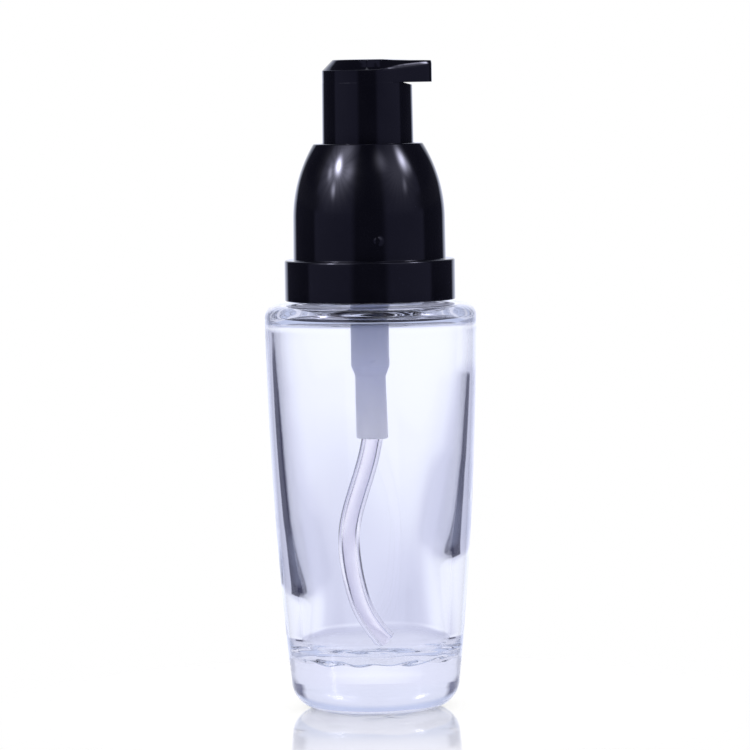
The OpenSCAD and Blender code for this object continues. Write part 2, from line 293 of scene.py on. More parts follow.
# clear polyethylene tube
M_TUBE, nt, b = material("tube_pe")
nt.links.new(colours(nt, noise(nt, 300.0, 3.0), (0.975, 0.955, 0.98), (0.995, 0.98, 1.0)), b.inputs["Base Color"])
nt.links.new(ramp(nt, noise(nt, 700.0, 3.0), 0.14, 0.20, 0.35, 0.7), b.inputs["Roughness"])
b.inputs["Transmission Weight"].default_value = 1.0
b.inputs["IOR"].default_value = 1.24
bump(nt, b, noise(nt, 900.0, 2.0, 0.5, (1.0, 1.0, 0.1)), 0.1, 0.00003)

# drawn stainless wire and polished ball
M_STEEL, nt, b = material("spring_steel")
b.inputs["Metallic"].default_value = 1.0
nt.links.new(colours(nt, noise(nt, 500.0), (0.50, 0.51, 0.53), (0.64, 0.65, 0.66)), b.inputs["Base Color"])
nt.links.new(ramp(nt, noise(nt, 1500.0, 4.0), 0.22, 0.4, 0.3, 0.7), b.inputs["Roughness"])
bump(nt, b, noise(nt, 2500.0, 3.0), 0.15, 0.00001)
M_BALL, nt, b = material("ball")
b.inputs["Metallic"].default_value = 1.0
nt.links.new(colours(nt, noise(nt, 300.0), (0.60, 0.61, 0.63), (0.68, 0.69, 0.70)), b.inputs["Base Color"])
nt.links.new(ramp(nt, noise(nt, 1800.0, 4.0), 0.06, 0.14, 0.35, 0.7), b.inputs["Roughness"])
bump(nt, b, noise(nt, 2200.0, 3.0), 0.05, 0.00001)


def finish_piece(o, mat, body, slot, *nodes):
    o.data.materials.clear()
    o.data.materials.append(mat)
    if nodes:
        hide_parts(*nodes)
    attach(o, body)
    return o


# ------------------------------------------------------------------ glass bottle
FOOT_R, FOOT_H, STAND_R, TOP_R, SHOULDER = 14.0, 4.6, 9.2, 17.49, 67.5
NECK_R, NECK_BORE, LAND, PITCH, THREAD_R = 8.55, 6.2, 77.0, 3.175, 9.6
WALL_H = 62.5 - FOOT_H


def glass_r(z):
    t = (z - FOOT_H) / WALL_H
    return FOOT_R + (TOP_R - FOOT_R) * t + 2.6 * t * (1 - t)


def zpx(y):
    return (710 - y) * 0.1655


# wall thickness down the two sides, where blown glass runs thick and thin, and round the rest
T_Z = [zpx(y) for y in (700, 640, 615, 590, 560, 525, 492, 462, 440, 400, 360, 325, 300)]
T_LEFT = [2.45, 2.60, 2.76, 2.93, 2.68, 2.33, 2.16, 2.03, 1.93, 1.73, 1.5, 1.3, 1.3]
U_Z = [zpx(y) for y in (700, 640, 610, 580, 552, 530, 500, 462, 420, 370, 325, 300)]
T_RIGHT = [2.2, 2.35, 2.5, 2.66, 2.8, 2.58, 2.25, 1.86, 1.6, 1.3, 1.2, 1.2]


def smooth_interp(z, zs, ts):
    w = 0.0
    s = 0.0
    for k, g in ((-1.6, 0.25), (-0.8, 0.5), (0, 1.0), (0.8, 0.5), (1.6, 0.25)):
        s += g * lerp(z + k, zs, ts)
        w += g
    return s / w


def wall(z, a):
    base = 2.7 + (1.9 - 2.7) * (z - FOOT_H) / WALL_H
    off = math.degrees(abs((a + math.pi) % (2 * math.pi) - math.pi))
    left = smooth((62 - (180 - off)) / 34)
    right = smooth((62 - off) / 34)
    wave = 0.08 * math.sin(3 * a + z * 0.06) + 0.05 * math.sin(5 * a - z * 0.10 + 1.0) + 0.04 * math.sin(2 * a + z * 0.12 + 2.0)
    side = left * (smooth_interp(z, T_Z, T_LEFT) - base) + right * (smooth_interp(z, U_Z, T_RIGHT) - base)
    return max(1.0, base + side + wave * (1 - left * 0.7 - right * 0.7))


outer = ([(0, 0.7), (2, 0.66), (4, 0.52), (5.6, 0.28)] + arc(7.4, 0.9, 1.6, 0.9, -150, -90, 4)
         + [(8.2, 0.0)] + arc(STAND_R, FOOT_H, FOOT_R - STAND_R, FOOT_H, -88, -6, 20)
         + [(glass_r(FOOT_H + (62.5 - FOOT_H) * i / 60), FOOT_H + (62.5 - FOOT_H) * i / 60) for i in range(1, 61)]
         + arc(TOP_R - 2.1, SHOULDER - 2.35, 2.1, 2.1, 0, 84, 12)
         + [(13, SHOULDER - 0.05), (11.5, SHOULDER - 0.02), (9.75, SHOULDER)] + arc(NECK_R + 1, SHOULDER + 1, 1, 1, -92, -180, 6))
outer = [p for i, p in enumerate(outer) if i == 0 or math.hypot(p[0] - outer[i - 1][0], p[1] - outer[i - 1][1]) > 1e-4]
n_body = len(outer)
neck = spaced([(NECK_R, 68.6), (NECK_R, 76.5)], 0.16) + arc(NECK_R - 0.4, 76.6, 0.4, 0.4, 10, 88, 5) + [(8.0, LAND), (6.5, LAND)]
lip = arc(NECK_BORE + 0.25, LAND - 0.25, 0.25, 0.25, 95, 180, 4)
IN_TOP = 63.4
in_r_top = glass_r(IN_TOP) - 1.9
inner_up = (spaced([(NECK_BORE, LAND - 0.4), (NECK_BORE, SHOULDER - 0.3)], 0.8)
            + arc(NECK_BORE + 2, SHOULDER - 0.4, 2, 0.95, 184, 268, 10))
inner_sh = spaced([(8.6, 66.13), (in_r_top - 2.0, 65.5)], 0.6)[1:] + arc(in_r_top - 2.0, SHOULDER - 3.6, 2.0, 1.55, 78, 4, 14)
n_in_wall = 110
inner_wall = [("w", IN_TOP - (IN_TOP - 12.4) * i / n_in_wall) for i in range(n_in_wall + 1)]
floor_r = glass_r(12.4) - 2.7 + 0.11
inner_low = arc(floor_r - 4, 12.4, 4, 4, -5, -88, 12) + [(floor_r - 4 - 0.9 * k, 8.4) for k in range(1, 9)] + [(0, 8.4)]

profile, kind = [], []
for p in outer:
    profile.append(p); kind.append("o")
for p in neck:
    profile.append(p); kind.append("n")
for p in lip + inner_up:
    profile.append(p); kind.append("b")
for p in inner_sh:
    profile.append(p); kind.append("s")
for p in inner_wall:
    profile.append((10.0, p[1])); kind.append("w")
for p in inner_low:
    profile.append(p); kind.append("f")

THREAD_Z, THREAD_TURNS = 70.7, 1.2


def thread_height(a, z):
    """How far the thread stands out of the neck at this angle and height."""
    best = 0.0
    deg = math.degrees(a)
    for turn in (0, 1):
        u = (deg + 360 * turn) / 360
        if u > THREAD_TURNS:
            continue
        fade = min(1.0, u / 0.14, (THREAD_TURNS - u) / 0.14)
        d = abs(z - (THREAD_Z + PITCH * u))
        best = max(best, (THREAD_R - NECK_R) * smooth(fade) * smooth((1.0 - d) / 0.55))
    return best


def bottle_move(r, z, a, i):
    k = kind[i]
    if k == "n" and z < 76.4:
        return r + thread_height(a, z), z
    if k == "w":
        return glass_r(z) - wall(z, a), z
    if k == "s":
        # follow the side wall's own thickness round the shoulder corner
        w = smooth((r - 9.0) / 5.0)
        d = (glass_r(IN_TOP) - wall(IN_TOP, a)) - in_r_top
        sag = 0.14 * math.sin(2 * a + 0.6) + 0.05 * math.sin(3 * a - 0.4 * r)
        return r + w * d, z + sag * smooth((r - 8.4) / 2.0) * (1 - 0.6 * w)
    if k == "f":
        w = smooth((r - 5.0) / 5.0)
        d = (glass_r(12.4) - wall(12.4, a)) - floor_r
        x, y = r * math.cos(a), r * math.sin(a)
        rip = (0.20 * math.sin(0.62 * x + 0.9 * y + 0.4) + 0.16 * math.sin(1.15 * x - 0.7 * y + 2.2)
               + 0.12 * math.sin(1.9 * y + 0.6 * x) + 0.35 * math.exp(-((x - 1.5) ** 2 + (y + 1) ** 2) / 5))
        return r + w * d, z + rip * smooth((12.0 - r) / 4.0)
    return r, z


SEG = 288
bottle = lathe("glass_bottle", profile, SEG, bottle_move)
finish_piece(bottle, M_GLASS, "bottle", "clear_glass", "bottle")

# ------------------------------------------------------------------ black shell
BAND_R, BAND_Z, BAND_TOP, DOME_R, SHELL_T, OPEN_R, RIM_Z = 14.1, 67.85, 74.6, 12.55, 1.2, 7.85, 93.75
ARC_R = 24.2
acx, acz = DOME_R - ARC_R, 81.2
in_r = DOME_R - SHELL_T
prof = []
prof += rounded([(in_r, 81.0), (in_r, BAND_Z, 0.15), (in_r + 1.0, BAND_Z, 0.15), (in_r + 1.0, 73.2, 0.2), (BAND_R - 0.95, 73.2, 0.2),
                 (BAND_R - 0.95, BAND_Z, 0.15), (BAND_R, BAND_Z, 0.18), (BAND_R, BAND_TOP, 0.32), (DOME_R + 0.06, BAND_TOP, 0.12), (DOME_R + 0.05, 76.0)], 5)
prof += [(DOME_R + 0.05 - 0.05 * k / 26, 76.0 + (81.2 - 76.0) * k / 26) for k in range(1, 26)]
prof += arc(acx, acz, ARC_R, ARC_R, 0, 30.6, 56)
prof += arc(8.845, RIM_Z - 0.35, 0.35, 0.35, 31.5, 88, 7)
prof += rounded([(8.8, RIM_Z), (OPEN_R, RIM_Z, 0.14), (OPEN_R, RIM_Z - 3.2, 0.1), (OPEN_R + 1.0, RIM_Z - 3.2, 0.2), (OPEN_R + 1.5, RIM_Z - 3.6)], 4)
prof += arc(acx, acz, ARC_R - SHELL_T, ARC_R - SHELL_T, 21, 0.5, 12)
prof = spaced(prof, 0.9)
BUMPS = [math.radians(-83.5 + 120 * k) for k in range(3)]


def shell_move(r, z, a, i):
    if 76.9 < z < 79.1 and r > DOME_R - 0.2:
        for t in BUMPS:
            da = (a - t + math.pi) % (2 * math.pi) - math.pi
            d = math.hypot(da * r, z - 78.0)
            if d < 0.85:
                return r + 0.2 * smooth((0.85 - d) / 0.5), z
    return r, z


shell = lathe("pump_shell", prof, 480, shell_move, closed=True)
finish_piece(shell, M_BLACK, "cap", "black_gloss", "outer_shell")

# ------------------------------------------------------------------ pump head
HEAD_R, HEAD_TOP, BEVEL, REACH, SKIRT, UNDER = 7.42, 107.6, 1.8, 10.7, 87.6, 103.72
PHI = math.radians(30)
TANGENT = math.pi / 2 - PHI
LINE_1X = [-20, 0.8, 1.9, 2.75, 3.9, 4.6, 5.2, 6.2, 7.7, 9.0, 10.2, 10.7]
LINE_1Z = [105.8, 105.8, 105.86, 106.02, 106.3, 106.48, 106.6, 106.75, 106.9, 107.03, 107.1, 107.12]
STRIP_X = [-20, 2.2, 3.4, 4.6, 6.0, 8.0, 10.7]
STRIP_H = [0.03, 0.03, 0.2, 0.42, 0.48, 0.44, 0.36]
TOP_X = [-20, 3.5, 6.0, 8.5, 10.7]
TOP_Z = [107.6, 107.6, 107.55, 107.46, 107.34]

angles = []
a = -math.pi
while a < math.pi - 1e-9:
    angles.append(a)
    step = 0.35 if abs(a) < math.radians(16) else (0.8 if abs(a) < math.radians(75) else 1.6)
    a += math.radians(step)
angles = np.array(sorted(set(np.round(np.concatenate([np.array([x for x in angles if x <= 0]), -np.array([x for x in angles if -math.pi < x < 0])]), 9))))


def outline(t, d=0.0, dt=None):
    """Distance from the axis to the head's outline at angle t, drawn in by d on the sides and dt at the tip."""
    circle = HEAD_R - d
    if abs(t) >= TANGENT:
        return circle
    side = (HEAD_R - d) / math.cos(TANGENT - abs(t))
    tip = (REACH - (d * 0.3 if dt is None else dt)) / math.cos(t)
    p = 26.0
    n = (side ** -p + tip ** -p) ** (-1 / p)
    return max(circle, n)


def lower_r(z):
    return HEAD_R + 0.16 * (HEAD_TOP - BEVEL - z) / (HEAD_TOP - BEVEL - SKIRT)


rings = []


def ring(fr, fz):
    rings.append([(fr(t), t, fz(t)) for t in angles])


def frac_ring(s, z):
    ring(lambda t: lower_r(UNDER) + s * (outline(t) - HEAD_R), z if callable(z) else (lambda t: z))


# inside, from the ceiling down, round the skirt's edge, then up the outside
IN_R = HEAD_R - 1.1
for r_, z_ in [(2.0, 103.2), (4.5, 103.2)] + arc(IN_R - 0.5, 102.7, 0.5, 0.5, 85, 0, 4) + [(IN_R, 100.0), (IN_R, 96.0), (IN_R, 92.0), (IN_R + 0.02, 88.2)]:
    ring(lambda t, r=r_: r, lambda t, z=z_: z)
for r_, z_ in [(IN_R + 0.06, SKIRT + 0.08), (IN_R + 0.16, SKIRT), (lower_r(SKIRT) - 0.16, SKIRT), (lower_r(SKIRT) - 0.05, SKIRT + 0.05), (lower_r(SKIRT), SKIRT + 0.16)]:
    ring(lambda t, r=r_: r, lambda t, z=z_: z)
for z_ in np.linspace(SKIRT + 0.5, 102.9, 14):
    ring(lambda t, z=z_: lower_r(z), lambda t, z=z_: z)


def relief(t):
    """1 where the wall under the nozzle is cut back, 0 elsewhere."""
    return 1.0 if 5.9 / math.cos(t) < HEAD_R and abs(t) < 1.2 else 0.0


def cut_z(t):
    x = lower_r(UNDER) * math.cos(t)
    return UNDER - max(0.0, (x - 5.9)) * 0.262 if abs(t) < 1.2 else UNDER


ring(lambda t: lower_r(103.2), lambda t: min(103.22, cut_z(t) - 0.1))
ring(lambda t: lower_r(103.2), lambda t: cut_z(t) - 0.05)
ring(lambda t: lower_r(103.2) - (0.04 if relief(t) else 0), lambda t: cut_z(t) - 0.012)
ring(lambda t: min(lower_r(103.2), 6.1 / math.cos(t) if relief(t) else 99), lambda t: UNDER - 0.055 if relief(t) else UNDER - 0.008)
ring(lambda t: min(lower_r(103.2), 5.93 / math.cos(t) if relief(t) else 99), lambda t: UNDER - 0.006)
frac_ring(0.0, UNDER)
frac_ring(0.5, UNDER + 0.002)
ring(lambda t: outline(t, 0.10 if outline(t) > HEAD_R + 0.02 else 0.0), lambda t: UNDER + 0.004)
ring(lambda t: outline(t, 0.03 if outline(t) > HEAD_R + 0.02 else 0.0), lambda t: UNDER + 0.035)
ring(lambda t: outline(t), lambda t: UNDER + 0.11)


def z1(t):
    return lerp(outline(t) * math.cos(t), LINE_1X, LINE_1Z)


def z2(t):
    return z1(t) - lerp(outline(t) * math.cos(t), STRIP_X, STRIP_H)


def lean(t):
    return 0.16 * smooth((lerp(outline(t) * math.cos(t), STRIP_X, STRIP_H) - 0.03) / 0.3)


for f in (0.15, 0.4, 0.65, 0.85):
    ring(lambda t: outline(t), lambda t, f=f: UNDER + 0.11 + f * (z2(t) - 0.06 - UNDER - 0.11))
ring(lambda t: outline(t), lambda t: z2(t) - 0.035)
ring(lambda t: outline(t, 0.012 * (lean(t) > 0.01)), lambda t: z2(t))
ring(lambda t: outline(t, 0.05 * lean(t) / 0.16), lambda t: z2(t) + 0.25 * (z1(t) - z2(t)))
ring(lambda t: outline(t, 0.9 * lean(t)), lambda t: z1(t) - 0.05 if z1(t) - z2(t) > 0.1 else z1(t) - 0.012)
ring(lambda t: outline(t, lean(t) + 0.02), lambda t: z1(t))


def inset(t):
    h = lerp(outline(t) * math.cos(t), TOP_X, TOP_Z) - z1(t) - 0.06
    return max(0.12, h * 0.98)


def edge_z(t):
    x = outline(t) * math.cos(t)
    return lerp(x, TOP_X, TOP_Z) - 0.06 - 0.10 * smooth((x - 2.5) / 3.5) * smooth((10.7 - x) / 3)


ring(lambda t: outline(t, lean(t) + 0.06), lambda t: z1(t) + 0.035)
for f in (0.3, 0.6, 0.92):
    ring(lambda t, f=f: outline(t, lean(t) + 0.06 + f * (inset(t) - 0.06)), lambda t, f=f: z1(t) + 0.035 + f * (edge_z(t) - z1(t) - 0.07))
ring(lambda t: outline(t, lean(t) + inset(t)), lambda t: edge_z(t) - 0.025)
ring(lambda t: outline(t, lean(t) + inset(t) + 0.07), lambda t: edge_z(t))
edge = [(outline(t, lean(t) + inset(t) + 0.07), t, edge_z(t)) for t in angles]
for s in (0.97, 0.9, 0.78, 0.64, 0.5, 0.36, 0.22, 0.1):
    def top(t, s=s):
        r = outline(t, lean(t) + inset(t) + 0.07) * s
        zt = lerp(r * math.cos(t), TOP_X, TOP_Z)
        return edge_z(t) + (zt - edge_z(t)) * (1 - s ** 2)
    ring(lambda t, s=s: outline(t, lean(t) + inset(t) + 0.07) * s, top)

verts, faces = [], []
n = len(angles)
verts.append((0, 0, 103.2))
for rg in rings:
    for r_, t, z_ in rg:
        verts.append((r_ * math.cos(t), r_ * math.sin(t), z_))
verts.append((0, 0, HEAD_TOP))
for k in range(n):
    faces.append((0, 1 + (k + 1) % n, 1 + k))
for i in range(len(rings) - 1):
    for k in range(n):
        A, B = 1 + i * n, 1 + (i + 1) * n
        faces.append((A + k, A + (k + 1) % n, B + (k + 1) % n, B + k))
last = 1 + (len(rings) - 1) * n
for k in range(n):
    faces.append((last + k, last + (k + 1) % n, len(verts) - 1))
head = mesh_object("pump_head", verts, faces)
recalc(head)


def cutter(name, r, x0, x1, z, seg=48):
    vs, fs = [], []
    for x in (x0, x1):
        for k in range(seg):
            w = 2 * math.pi * k / seg
            vs.append((x, r * math.cos(w), z + r * math.sin(w)))
    for k in range(seg):
        fs.append((k, (k + 1) % seg, seg + (k + 1) % seg, seg + k))
    fs.append(tuple(range(seg))[::-1])
    fs.append(tuple(range(seg, 2 * seg)))
    o = mesh_object(name, vs, fs)
    recalc(o)
    return o


CH_Z = 105.3
for r_, x0, x1 in ((1.0, 7.7, 12.0), (0.8, 0.0, 8.0)):
    c = cutter("cut", r_, x0, x1, CH_Z)
    mod = head.modifiers.new("cut", "BOOLEAN")
    mod.operation = "DIFFERENCE"
    mod.solver = "EXACT"
    mod.object = c
    dg = bpy.context.evaluated_depsgraph_get()
    me = bpy.data.meshes.new_from_object(head.evaluated_get(dg))
    head.modifiers.clear()
    head.data = me
    bpy.data.objects.remove(c)
for p in head.data.polygons:
    p.use_smooth = True
head.data.set_sharp_from_angle(angle=math.radians(38))
head.name = "pump_head"
finish_piece(head, M_BLACK, "plunger", "black_gloss", "actuator")

# socket that grips the stem, inside the head
sock = lathe("stem_socket", rounded([(1.71, 103.15), (1.71, 95.0, 0.15), (2.8, 95.0, 0.15), (2.8, 103.15)], 3), 64, closed=True)
finish_piece(sock, M_BLACK, "plunger", "black_gloss")

# ------------------------------------------------------------------ pump housing
hp = rounded([(0.0, 44.8), (2.6, 44.8, 0.28), (2.6, 55.2, 0.5), (3.3, 56.9, 0.6), (3.3, 72.0, 1.0), (5.3, 74.5, 0.4), (5.3, 77.8, 0.15),
              (7.6, 77.8, 0.12), (7.6, 78.8, 0.12), (5.3, 78.8, 0.1), (5.3, 79.95, 0.15), (4.5, 79.95, 0.12), (4.5, 75.2, 0.2), (2.6, 75.2, 0.1),
              (2.6, 58.3, 0.1), (1.75, 58.3, 0.08), (1.75, 55.2), (1.1, 54.2), (1.1, 52.9), (1.7, 52.9, 0.05), (1.7, 44.8)], 5)
hp[0] = (1.705, 44.85)
hp[-1] = (1.705, 44.9)
housing = lathe("pump_housing_visual", spaced(hp, 0.8), 96, closed=True)
finish_piece(housing, M_HOUSING, "pump", "natural_pp", "pump_housing")

# ------------------------------------------------------------------ dip tube
PTS = [(0, 52.8), (0, 45.6), (-0.15, 44.2), (-0.75, 41.6), (-1.6, 38.8), (-2.6, 35.8), (-3.5, 32.8), (-4.1, 29.8),
       (-4.2, 26.8), (-3.9, 23.6), (-3.4, 20.8), (-2.6, 17.8), (-1.4, 15.2), (0.1, 13.0), (1.9, 11.0)]


def catmull(pts, per):
    out = []
    m = len(pts) - 1
    for i in range(m):
        a, b, c, d = (np.array(pts[max(0, min(m, j))], float) for j in (i - 1, i, i + 1, i + 2))
        for k in range(per):
            t = k / per
            out.append(0.5 * (2 * b + (c - a) * t + (2 * a - 5 * b + 4 * c - d) * t * t + (3 * b - 3 * c + d - a) * t ** 3))
    out.append(np.array(pts[-1], float))
    return out


def tube(name, line, ro, ri, sides=40):
    m = len(line)
    vs, fs = [], []
    for r in (ro, ri):
        for i in range(m):
            d = line[min(m - 1, i + 1)] - line[max(0, i - 1)]
            d = d / np.linalg.norm(d)
            rr = r
            if i in (0, m - 1):
                rr = r - 0.08 if r == ro else r + 0.08
            for k in range(sides):
                w = 2 * math.pi * k / sides
                vs.append((line[i][0] - d[1] * rr * math.cos(w), rr * math.sin(w), line[i][1] + d[0] * rr * math.cos(w)))
    o = m * sides
    for i in range(m - 1):
        for k in range(sides):
            A, B = i * sides + k, i * sides + (k + 1) % sides
            fs.append((A, B, B + sides, A + sides))
            fs.append((o + B, o + A, o + A + sides, o + B + sides))
    e = (m - 1) * sides
    for k in range(sides):
        A, B = k, (k + 1) % sides
        fs.append((A, o + A, o + B, B))
        fs.append((e + A, e + B, o + e + B, o + e + A))
    ob = mesh_object(name, vs, fs)
    recalc(ob)
    ob.data.set_sharp_from_angle(angle=math.radians(50))
    return ob


line = catmull(PTS, 8)
d0 = (line[1] - line[0]) / np.linalg.norm(line[1] - line[0])
d1 = (line[-1] - line[-2]) / np.linalg.norm(line[-1] - line[-2])
line = [line[0]] + [line[0] + d0 * 0.1] + line[1:-1] + [line[-1] - d1 * 0.1, line[-1]]
dip = tube("dip_tube_visual", line, 1.7, 1.0)
finish_piece(dip, M_TUBE, "pump", "tube_pe", "dip_tube")

# ------------------------------------------------------------------ return spring, true round wire
WIRE, COIL, TURNS = 0.25, 2.05, 7.5
bot, topz, lift = 58.3 + WIRE + 0.02, 69.5 - WIRE - 0.02, 2 * WIRE * 1.02
total = TURNS + 2
vs, fs = [], []
per, sides = 40, 12
steps = int(total * per)
for i in range(steps + 1):
    t = i / per
    if t < 1:
        z = bot + lift * t
    elif t > total - 1:
        z = topz - lift * (total - t)
    else:
        z = bot + lift + (topz - bot - 2 * lift) * (t - 1) / (total - 2)
    a = 2 * math.pi * t
    for j in range(sides):
        w = 2 * math.pi * j / sides
        r = COIL + WIRE * math.cos(w)
        vs.append((r * math.cos(a), r * math.sin(a), z + WIRE * math.sin(w)))
for i in range(steps):
    for j in range(sides):
        A, B = i * sides + j, i * sides + (j + 1) % sides
        fs.append((A, B, B + sides, A + sides))
fs.append(tuple(range(sides)))
fs.append(tuple(steps * sides + j for j in range(sides))[::-1])
spring = mesh_object("return_spring_visual", vs, fs)
recalc(spring)
spring.data.set_sharp_from_angle(angle=math.radians(60))
finish_piece(spring, M_STEEL, "spring", "spring_steel", "return_spring")
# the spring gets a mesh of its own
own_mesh(spring)

# ------------------------------------------------------------------ CAD nodes that stay, with their materials
for node, mat in (("screw_cap", M_CAP), ("neck_gasket", M_LINER), ("chaplet", M_WHITE), ("stem", M_WHITE),
                  ("valve_rod", M_WHITE), ("piston", M_SOFT), ("inlet_ball", M_BALL)):
    o = NODES[node]
    if not o.material_slots:
        o.data.materials.append(mat)
    for s in o.material_slots:
        s.material = mat

# ------------------------------------------------------------------ floor and light
lil = (0.90, 0.92, 1.08)


def op_in(nt, kind, a, b=None, clamp=False):
    n = nt.nodes.new("ShaderNodeMath")
    n.operation = kind
    n.use_clamp = clamp
    for i, x in enumerate((a, b)):
        if x is None:
            continue
        if isinstance(x, (int, float)):
            n.inputs[i].default_value = x
        else:
            nt.links.new(x, n.inputs[i])
    return n.outputs[0]


def table_in(nt, x, stops, how="EASE"):
    """A ramp of colours through (position, colour), x from 0 to 1."""
    r = nt.nodes.new("ShaderNodeValToRGB")
    els = r.color_ramp.elements
    r.color_ramp.interpolation = how
    while len(els) < len(stops):
        els.new(0.5)
    for e, (p, c) in zip(els, stops):
        e.position = p
        e.color = (*c, 1)
    nt.links.new(x, r.inputs["Fac"])
    return r.outputs["Color"]


def mix_in(nt, fac, a, b, how="MIX"):
    n = nt.nodes.new("ShaderNodeMix")
    n.data_type = "RGBA"
    n.blend_type = how
    if isinstance(fac, (int, float)):
        n.inputs["Factor"].default_value = fac
    else:
        nt.links.new(fac, n.inputs["Factor"])
    socks = [q for q in n.inputs if q.type == "RGBA"]
    for sock, x in zip(socks, (a, b)):
        if isinstance(x, tuple):
            sock.default_value = (*x, 1)
        else:
            nt.links.new(x, sock)
    return [q for q in n.outputs if q.type == "RGBA"][0]


FLOOR_R = 70.0
vs = [(0, 0, 0)]
fs = []
for j in range(1, 11):
    for k in range(96):
        w = 2 * math.pi * k / 96
        vs.append((FLOOR_R * j / 10 * math.cos(w), FLOOR_R * j / 10 * math.sin(w), 0))
for k in range(96):
    fs.append((0, 1 + k, 1 + (k + 1) % 96))
for j in range(9):
    for k in range(96):
        A, B = 1 + j * 96 + k, 1 + j * 96 + (k + 1) % 96
        fs.append((A, A + 96, B + 96, B))
floor = mesh_object("floor", vs, fs)
floor.location.z = -0.00002
m, nt, b = material("floor_gloss")
tc = nt.nodes.new("ShaderNodeTexCoord")
ln = nt.nodes.new("ShaderNodeVectorMath")
ln.operation = "LENGTH"
nt.links.new(tc.outputs["Object"], ln.inputs[0])
dist = op_in(nt, "DIVIDE", ln.outputs["Value"], FLOOR_R * MM)
nt.links.new(colours(nt, noise(nt, 30.0, 2.0), (0.97, 0.97, 0.985), (0.99, 0.99, 1.0)), b.inputs["Base Color"])
b.inputs["Roughness"].default_value = 0.9
b.inputs["Specular IOR Level"].default_value = 0.0
sheet = nt.nodes.new("ShaderNodeBsdfGlossy")
sheet.inputs["Roughness"].default_value = 0.05
sheet.inputs["Color"].default_value = (0.94, 0.935, 0.905, 1)
gl = nt.nodes.new("ShaderNodeMixShader")
nt.links.new(table_in(nt, dist, [(0.0, (0.72, 0.72, 0.72)), (0.25, (0.70, 0.70, 0.70)), (0.6, (0.5, 0.5, 0.5)), (1.0, (0.25, 0.25, 0.25))], "LINEAR"), gl.inputs[0])
nt.links.new(b.outputs[0], gl.inputs[1])
nt.links.new(sheet.outputs[0], gl.inputs[2])
# the disc fades out before its edge, and is a plain pale glow where it is seen through glass
glow = nt.nodes.new("ShaderNodeEmission")
nt.links.new(table_in(nt, dist, [(0.0, (0.76, 0.79, 0.96)), (0.4, (0.72, 0.74, 0.92)), (0.7, (0.63, 0.65, 0.83)), (1.0, (0.63, 0.65, 0.84))]), glow.inputs["Color"])
lpf = nt.nodes.new("ShaderNodeLightPath")
mx = nt.nodes.new("ShaderNodeMixShader")
nt.links.new(op_in(nt, "MULTIPLY", lpf.outputs["Is Transmission Ray"], 0.9), mx.inputs[0])
nt.links.new(gl.outputs[0], mx.inputs[1])
nt.links.new(glow.outputs[0], mx.inputs[2])
clear = nt.nodes.new("ShaderNodeBsdfTransparent")
fade = nt.nodes.new("ShaderNodeMixShader")
nt.links.new(table_in(nt, dist, [(0.0, (0, 0, 0)), (0.62, (0, 0, 0)), (0.96, (1, 1, 1)), (1.0, (1, 1, 1))]), fade.inputs[0])
nt.links.new(mx.outputs[0], fade.inputs[1])
nt.links.new(clear.outputs[0], fade.inputs[2])
nt.links.new(fade.outputs[0], nt.nodes["Material Output"].inputs["Surface"])
floor.data.materials.append(m)

world = bpy.data.worlds.new("studio")
scene.world = world
world.use_nodes = True
nt = world.node_tree
nt.nodes.clear()
out = nt.nodes.new("ShaderNodeOutputWorld")
tc = nt.nodes.new("ShaderNodeTexCoord")
sep = nt.nodes.new("ShaderNodeSeparateXYZ")
nt.links.new(tc.outputs["Generated"], sep.inputs[0])
X, Y, Z = sep.outputs
az = op_in(nt, "ARCTAN2", X, Y)                          # 0 behind the object (+Y), plus towards +X
azn = op_in(nt, "DIVIDE", op_in(nt, "ABSOLUTE", az), math.pi)   # 0 behind, 1 in front
azd = op_in(nt, "MULTIPLY", az, 180 / math.pi)
eld = op_in(nt, "MULTIPLY", op_in(nt, "ARCSINE", Z), 180 / math.pi)
D = 1 / 180.0
BLUE = (1.0, 1.0, 1.75)


def lobe(a0, e0, sa, se, turn=0.0):
    """A soft patch of light round azimuth a0 and elevation e0, in degrees."""
    da = op_in(nt, "MULTIPLY", op_in(nt, "SUBTRACT", azd, a0), math.cos(math.radians(e0)))
    de = op_in(nt, "SUBTRACT", eld, e0)
    c, s_ = math.cos(math.radians(turn)), math.sin(math.radians(turn))
    u = op_in(nt, "ADD", op_in(nt, "MULTIPLY", da, c), op_in(nt, "MULTIPLY", de, s_))
    v = op_in(nt, "SUBTRACT", op_in(nt, "MULTIPLY", de, c), op_in(nt, "MULTIPLY", da, s_))
    q = op_in(nt, "ADD", op_in(nt, "POWER", op_in(nt, "ABSOLUTE", op_in(nt, "DIVIDE", u, sa)), 2.0),
              op_in(nt, "POWER", op_in(nt, "ABSOLUTE", op_in(nt, "DIVIDE", v, se)), 2.0))
    return op_in(nt, "EXPONENT", op_in(nt, "MULTIPLY", q, -1.0)), u, v


def total(terms):
    acc = None
    for w, t in terms:
        x = op_in(nt, "MULTIPLY", t, w)
        acc = x if acc is None else op_in(nt, "ADD", acc, x)
    return acc


